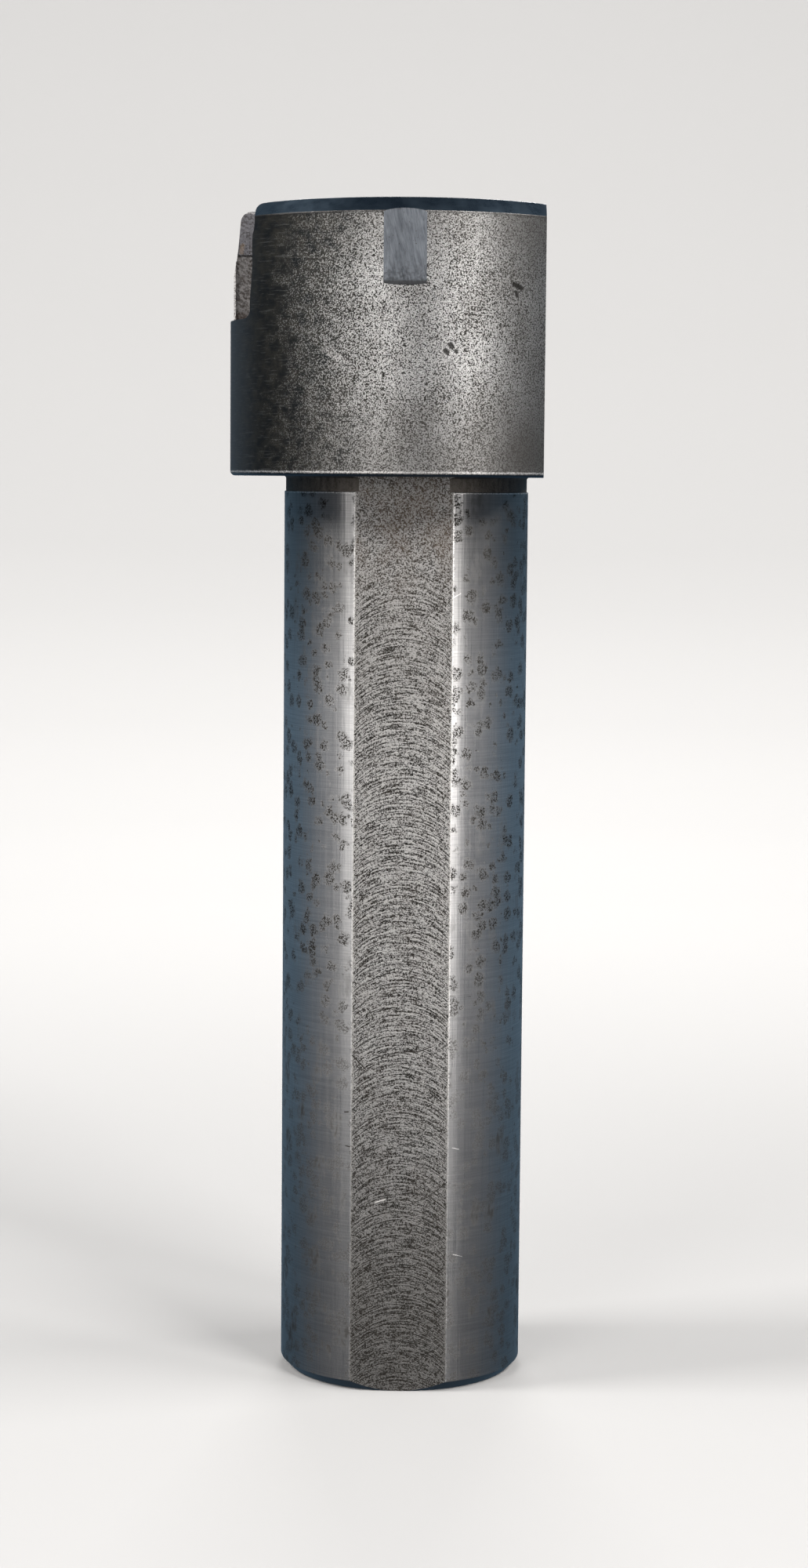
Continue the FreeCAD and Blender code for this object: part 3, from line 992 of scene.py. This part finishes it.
def prism(name, outline, along, finish):
    """A cutter from a closed outline of points, drawn out along a direction."""
    bm = bmesh.new()
    face = bm.faces.new([bm.verts.new(point) for point in outline])
    pushed = bmesh.ops.extrude_face_region(bm, geom=[face])
    moved = [item for item in pushed["geom"] if isinstance(item, bmesh.types.BMVert)]
    bmesh.ops.translate(bm, verts=moved, vec=along)
    bmesh.ops.recalc_face_normals(bm, faces=bm.faces)
    made = new_object(name, bm)
    made.data.materials.append(finish)
    return made


# %% [markdown]
# Two flats were milled: a narrow one along the whole shank, for the clamping screws,
# and a wide one down the side of the head away from the tip.

# %% Flats
CLAMP_FLAT = 18.42 * MM
SIDE_FLAT = BODY_HIGH.x
reach = HEAD_RADIUS + OVER
cut(bar, block("flat_cutter", (-reach, -reach, -OVER), (reach, -CLAMP_FLAT, HEAD_BACK), milled_flat))
cut(bar, block("side_cutter", (SIDE_FLAT, -reach, HEAD_BACK - OVER), (reach, reach, HEAD_FRONT + OVER),
               pitted_head))
print("with flats", len(bar.data.polygons), "faces")

# %% [markdown]
# The hollow on the crown of the head was ground with a wheel: it is round across, and
# runs out in an arc at its lower end. The cutter is the overlap of the wheel's
# cylinder and a long block with that arc at its foot.

# %% Crown hollow
HOLLOW_HALF = 3.35 * MM
HOLLOW_DEPTH = 0.46 * MM
HOLLOW_LENGTH = 13.63 * MM
HOLLOW_RISE = 2.0 * MM
HOLLOW_SWEEP = math.radians(60.0)
HOLLOW_STEPS = 10
ROUND_STEPS = 720
hollow_floor = HEAD_RADIUS - HOLLOW_DEPTH
sagitta = math.sqrt(HEAD_RADIUS**2 - HOLLOW_HALF**2) - hollow_floor
wheel_radius = (HOLLOW_HALF**2 + sagitta**2) / (2 * sagitta)
run_out = math.sqrt(2 * HOLLOW_RISE * HOLLOW_DEPTH - HOLLOW_DEPTH**2)
hollow_foot = HEAD_FRONT - HOLLOW_LENGTH + run_out
outline = [(-HOLLOW_HALF, -reach, HEAD_FRONT + OVER), (-HOLLOW_HALF, -hollow_floor, HEAD_FRONT + OVER)]
for step in range(HOLLOW_STEPS + 1):
    angle = HOLLOW_SWEEP * step / HOLLOW_STEPS
    outline.append((-HOLLOW_HALF, -hollow_floor - HOLLOW_RISE * (1 - math.cos(angle)),
                    hollow_foot - HOLLOW_RISE * math.sin(angle)))
outline.append((-HOLLOW_HALF, -reach, outline[-1][2]))
hollow = prism("hollow_cutter", outline, (2 * HOLLOW_HALF, 0, 0), ground_hollow)
wheel_bm = bmesh.new()
wheel_place = Matrix.Translation((0, -hollow_floor - wheel_radius, HEAD_FRONT - HOLLOW_LENGTH / 2))
bmesh.ops.create_cone(wheel_bm, cap_ends=True, segments=ROUND_STEPS, radius1=wheel_radius,
                      radius2=wheel_radius, depth=2 * HOLLOW_LENGTH, matrix=wheel_place)
wheel = new_object("wheel", wheel_bm)
wheel.data.materials.append(ground_hollow)
cut(hollow, wheel, "INTERSECT")
cut(bar, hollow)
print("with hollow", len(bar.data.polygons), "faces")

# %% [markdown]
# The chip pocket opens the head over the tip. Its wall was ground by hand, so its line
# wanders: it is a spline through a few points, eased into the step below and the
# front face above by two quarter circles.

# %% Chip pocket
POCKET_STEP = TIP_LOW.z
RAKE = TIP_LOW.y
POCKET_CORNER = 1.3 * MM
POCKET_WALL = [(0.14, 4.04), (0.45, 4.42), (0.69, 4.44), (0.79, 4.80), (0.90, 4.86)]
WALL_STEPS = 6
pocket_length = HEAD_FRONT - POCKET_STEP
foot_x = -HEAD_RADIUS + POCKET_WALL[0][1] * MM
top_x = -HEAD_RADIUS + POCKET_WALL[-1][1] * MM
knots = [Vector((foot_x, -reach, POCKET_STEP + POCKET_CORNER))]
knots += [Vector((-HEAD_RADIUS + inset * MM, -reach, POCKET_STEP + share * pocket_length))
          for share, inset in POCKET_WALL]
knots.append(Vector((top_x, -reach, HEAD_FRONT - POCKET_CORNER)))


def through(points, start, end, steps):
    """Points of a smooth line through the given ones, with its directions at both ends."""
    slopes = [start] + [(after - before).normalized() for before, after in zip(points, points[2:])] + [end]
    made = []
    for a, b, slope_a, slope_b in zip(points, points[1:], slopes, slopes[1:]):
        third = (b - a).length / 3
        for step in range(steps):
            t = step / steps
            p, q = a + slope_a * third, b - slope_b * third
            made.append((1 - t)**3 * a + 3 * (1 - t)**2 * t * p + 3 * (1 - t) * t**2 * q + t**3 * b)
    return made + [points[-1]]


def quarter(centre, radius, first, last, steps=8):
    """Points of an arc in the XZ plane between two angles in degrees."""
    made = []
    for step in range(steps + 1):
        angle = math.radians(first + (last - first) * step / steps)
        made.append(centre + radius * Vector((math.cos(angle), 0, math.sin(angle))))
    return made


upwards = Vector((0, 0, 1))
lower_centre = Vector((foot_x - POCKET_CORNER, -reach, POCKET_STEP + POCKET_CORNER))
upper_centre = Vector((top_x + POCKET_CORNER, -reach, HEAD_FRONT - POCKET_CORNER))
lower_corner = quarter(lower_centre, POCKET_CORNER, -90, 0)
upper_corner = quarter(upper_centre, POCKET_CORNER, 180, 90)
outline = lower_corner[:-1] + through(knots, upwards, upwards, WALL_STEPS) + upper_corner[1:]
outline += [Vector((top_x + POCKET_CORNER, -reach, HEAD_FRONT + OVER)),
            Vector((-reach, -reach, HEAD_FRONT + OVER)), Vector((-reach, -reach, POCKET_STEP))]
cut(bar, prism("pocket_cutter", outline, (0, RAKE + reach, 0), ground_pocket))
print("with pocket", len(bar.data.polygons), "faces")

# %% [markdown]
# Under the pocket floor the tip sits in a square seat. Below the cutting edge the
# flank of tip and bar was ground away together, in two straight leads that lean
# inwards. The cutters are shared by both pieces, so they fit each other exactly.

# %% Seat and relief
TIP_WIDTH = 3.9 * MM
TIP_FLOOR = 8.0 * MM
CLEARANCE = math.tan(math.radians(8.0))
LEAD_START = 10.6 * MM
LEAD_BEND = 6.4 * MM
LEAD_BEND_INSET = 0.66 * MM
LEAD_FRONT_INSET = 1.26 * MM
NOSE_RADIUS = 1.8 * MM
seat_side = -HEAD_RADIUS + TIP_WIDTH
rake_reach = math.sqrt(HEAD_RADIUS**2 - RAKE**2)


def seat_cutter():
    return block("seat_cutter", (-reach, RAKE, POCKET_STEP), (seat_side, TIP_FLOOR, HEAD_FRONT + OVER),
                 ground_pocket)


def leaning(name, outline):
    """A cutter from an outline on the rake face that leans inwards below it."""
    return prism(name, outline, (HEAD_RADIUS * CLEARANCE, HEAD_RADIUS, 0), tip_carbide)


def relief_cutter():
    start = Vector((-rake_reach, RAKE, HEAD_FRONT - LEAD_START))
    bend = Vector((-rake_reach + LEAD_BEND_INSET, RAKE, HEAD_FRONT - LEAD_BEND))
    front = Vector((-rake_reach + LEAD_FRONT_INSET, RAKE, HEAD_FRONT))
    first = start + (start - bend) * ((start.x + reach) / (bend.x - start.x))
    last = front + (front - bend) * (OVER / LEAD_BEND)
    return leaning("relief_cutter", [first, bend, last, Vector((-reach, RAKE, last.z))])


cut(bar, seat_cutter())
cut(bar, relief_cutter())
print("bar", len(bar.data.polygons), "faces")

# %% [markdown]
# The tip is what fills the seat: the same seat cutter keeps only that part of the
# head's round, and the same relief leans its flank. Its front corner is a round nose,
# its front edge a thin bevel, and a flake is missing from its lower half.

# %% Tip
FLAKE_STEP = 0.12 * MM
FLAKE_DEPTH = 0.32 * MM
FLAKE_LAND = 0.4 * MM
FRONT_BEVEL = 0.25 * MM
EPS = 0.001 * MM
NOSE_STEPS = 12
tip_bm = bmesh.new()
tip_place = Matrix.Translation((0, 0, POCKET_STEP + pocket_length / 2))
bmesh.ops.create_cone(tip_bm, cap_ends=True, segments=ROUND_STEPS, radius1=HEAD_RADIUS,
                      radius2=HEAD_RADIUS, depth=pocket_length, matrix=tip_place)
tip = new_object("tip", tip_bm)
tip.data.materials.append(tip_carbide)
seat_space = block("seat_space", (-reach, RAKE, POCKET_STEP - OVER),
                   (seat_side, TIP_FLOOR, HEAD_FRONT + OVER), tip_carbide)
cut(tip, seat_space, "INTERSECT")
cut(tip, relief_cutter())
share = NOSE_RADIUS / LEAD_BEND
nose_side = -rake_reach + LEAD_FRONT_INSET + share * (LEAD_BEND_INSET - LEAD_FRONT_INSET)
nose_centre = Vector((nose_side + NOSE_RADIUS, RAKE, HEAD_FRONT - NOSE_RADIUS))
outline = quarter(nose_centre, NOSE_RADIUS, 90, 180, NOSE_STEPS)
outline += [Vector((nose_side - OVER, RAKE, outline[-1].z)),
            Vector((nose_side - OVER, RAKE, HEAD_FRONT + OVER)),
            Vector((outline[0].x, RAKE, HEAD_FRONT + OVER))]
cut(tip, leaning("nose_cutter", outline))
bevel_line = [Vector((-reach, RAKE - EPS, HEAD_FRONT - FRONT_BEVEL - EPS)),
              Vector((-reach, RAKE + FRONT_BEVEL + OVER, HEAD_FRONT + OVER)),
              Vector((-reach, RAKE - EPS, HEAD_FRONT + OVER))]
cut(tip, prism("bevel_cutter", bevel_line, (2 * reach, 0, 0), tip_carbide))
flake_outer = -rake_reach + FLAKE_LAND
flake_line = [Vector((flake_outer, RAKE - OVER, FLAKE_TOP)), Vector((flake_outer, RAKE, FLAKE_TOP)),
              Vector((flake_outer, RAKE + FLAKE_STEP, FLAKE_TOP - FLAKE_STEP)),
              Vector((flake_outer, RAKE + FLAKE_DEPTH, POCKET_STEP - OVER)),
              Vector((flake_outer, RAKE - OVER, POCKET_STEP - OVER))]
cut(tip, prism("flake_cutter", flake_line, (TIP_WIDTH + OVER, 0, 0), tip_carbide))
print("tip", len(tip.data.polygons), "faces")

# %% [markdown]
# Where the flake came off, the carbide broke like glass: the face is uneven and its
# outer land ragged. Planes slice the tip into small cells, and noise then moves the
# new corners on the broken face. They only ever move into the material, so the tip
# stays inside the size of its CAD piece.

# %% Broken face
BREAK_CELL = 0.30 * MM
BREAK_DEPTH = 0.20 * MM
FINE_SHARE = 0.4
LAND_BITE = 0.16 * MM
EDGE_BITE = 0.10 * MM
NEAR = 0.01 * MM


def rough(x, z, fineness, seed):
    """Noise from 0 to 1 over a place on the rake face in metres."""
    return 0.5 + 0.5 * noise.noise(Vector((x / MM * fineness, z / MM * fineness, seed)))


bm = bmesh.new()
bm.from_mesh(tip.data)
bmesh.ops.remove_doubles(bm, verts=bm.verts, dist=MERGE)
bmesh.ops.delete(bm, geom=[edge for edge in bm.edges if not edge.link_faces], context="EDGES")
slices = []
place = Vector((flake_outer + BREAK_CELL, 0, 0))
while place.x < seat_side - BREAK_CELL / 2:
    slices.append((place.copy(), Vector((1, 0, 0))))
    place.x += BREAK_CELL
place = Vector((0, 0, POCKET_STEP + BREAK_CELL))
while place.z < FLAKE_TOP - FLAKE_STEP - BREAK_CELL / 2:
    slices.append((place.copy(), Vector((0, 0, 1))))
    place.z += BREAK_CELL
for place, facing in slices:
    everything = bm.verts[:] + bm.edges[:] + bm.faces[:]
    bmesh.ops.bisect_plane(bm, geom=everything, dist=1e-8, plane_co=place, plane_no=facing)
for vert in bm.verts:
    x, y, z = vert.co
    if y > RAKE + FLAKE_DEPTH + NEAR or z < POCKET_STEP + NEAR or z > FLAKE_TOP - FLAKE_STEP - NEAR:
        continue
    if flake_outer + NEAR < x < seat_side - NEAR:
        broad, fine = rough(x, z, 0.9, 3.0), rough(x, z, 2.3, 7.0)
        vert.co.y += BREAK_DEPTH * ((1 - FINE_SHARE) * broad + FINE_SHARE * fine)
    elif abs(x - flake_outer) < NEAR:
        vert.co.x -= LAND_BITE * rough(0, z, 1.7, 11.0)
    elif abs(x + rake_reach) < NEAR and y < RAKE + NEAR:
        vert.co.y += EDGE_BITE * max(0.0, 2 * rough(0, z, 2.0, 19.0) - 0.9)
bmesh.ops.recalc_face_normals(bm, faces=bm.faces)
bm.to_mesh(tip.data)
bm.free()
print("tip with its broken face", len(tip.data.polygons), "faces")

# %% [markdown]
# The step under the pocket has a rounded outer edge, where a file broke the corner.
# The edges to round are found by their place: at the step's height, on the round of
# the head, on the tip's side.

# %% Rounded step
STEP_ROUNDING = 0.35 * MM
bm = bmesh.new()
bm.from_mesh(bar.data)
bmesh.ops.remove_doubles(bm, verts=bm.verts, dist=MERGE)


def on_step_edge(vert):
    on_the_round = abs(math.hypot(vert.co.x, vert.co.y) - HEAD_RADIUS) < NEAR
    return on_the_round and abs(vert.co.z - POCKET_STEP) < NEAR and vert.co.x < 0


step_edges = [edge for edge in bm.edges if all(on_step_edge(vert) for vert in edge.verts)]
bmesh.ops.bevel(bm, geom=step_edges, offset=STEP_ROUNDING, segments=4, affect="EDGES", profile=0.5,
                material=-1, clamp_overlap=True)
bm.to_mesh(bar.data)
bm.free()
print("rounded", len(step_edges), "edges of the step")

# %% [markdown]
# Both pieces now get their shading. Every face is smooth, and an edge stays sharp
# where two finishes meet or where the faces beside it turn by more than a limit. The
# limit is higher on the tip, whose broken face is meant to look rounded, not cut.

# %% Sharp edges
SHARP_ON_BAR = math.radians(32)
SHARP_ON_TIP = math.radians(50)


def finish_shading(body, sharp):
    """Smooth faces, with the edges that really are edges kept sharp."""
    bm = bmesh.new()
    bm.from_mesh(body.data)
    bmesh.ops.remove_doubles(bm, verts=bm.verts, dist=MERGE)
    bmesh.ops.dissolve_degenerate(bm, edges=bm.edges, dist=MERGE)
    bmesh.ops.delete(bm, geom=[edge for edge in bm.edges if not edge.link_faces], context="EDGES")
    for face in bm.faces:
        face.smooth = True
    for edge in bm.edges:
        finishes_here = {face.material_index for face in edge.link_faces}
        edge.smooth = edge.is_manifold and edge.calc_face_angle(0.0) < sharp and len(finishes_here) == 1
    open_edges = [edge for edge in bm.edges if not edge.is_manifold]
    print(body.name, len(bm.faces), "faces,", len(open_edges), "open edges")
    bm.to_mesh(body.data)
    bm.free()
    weighted = body.modifiers.new("even_shading", "WEIGHTED_NORMAL")
    weighted.keep_sharp = True


for piece, node, slot_name, sharp in ((bar, "bar_body", "bar_steel", SHARP_ON_BAR),
                                      (tip, "carbide_tip", "tip_carbide", SHARP_ON_TIP)):
    finish_shading(piece, sharp)
    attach(piece, "root")
    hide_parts(node)
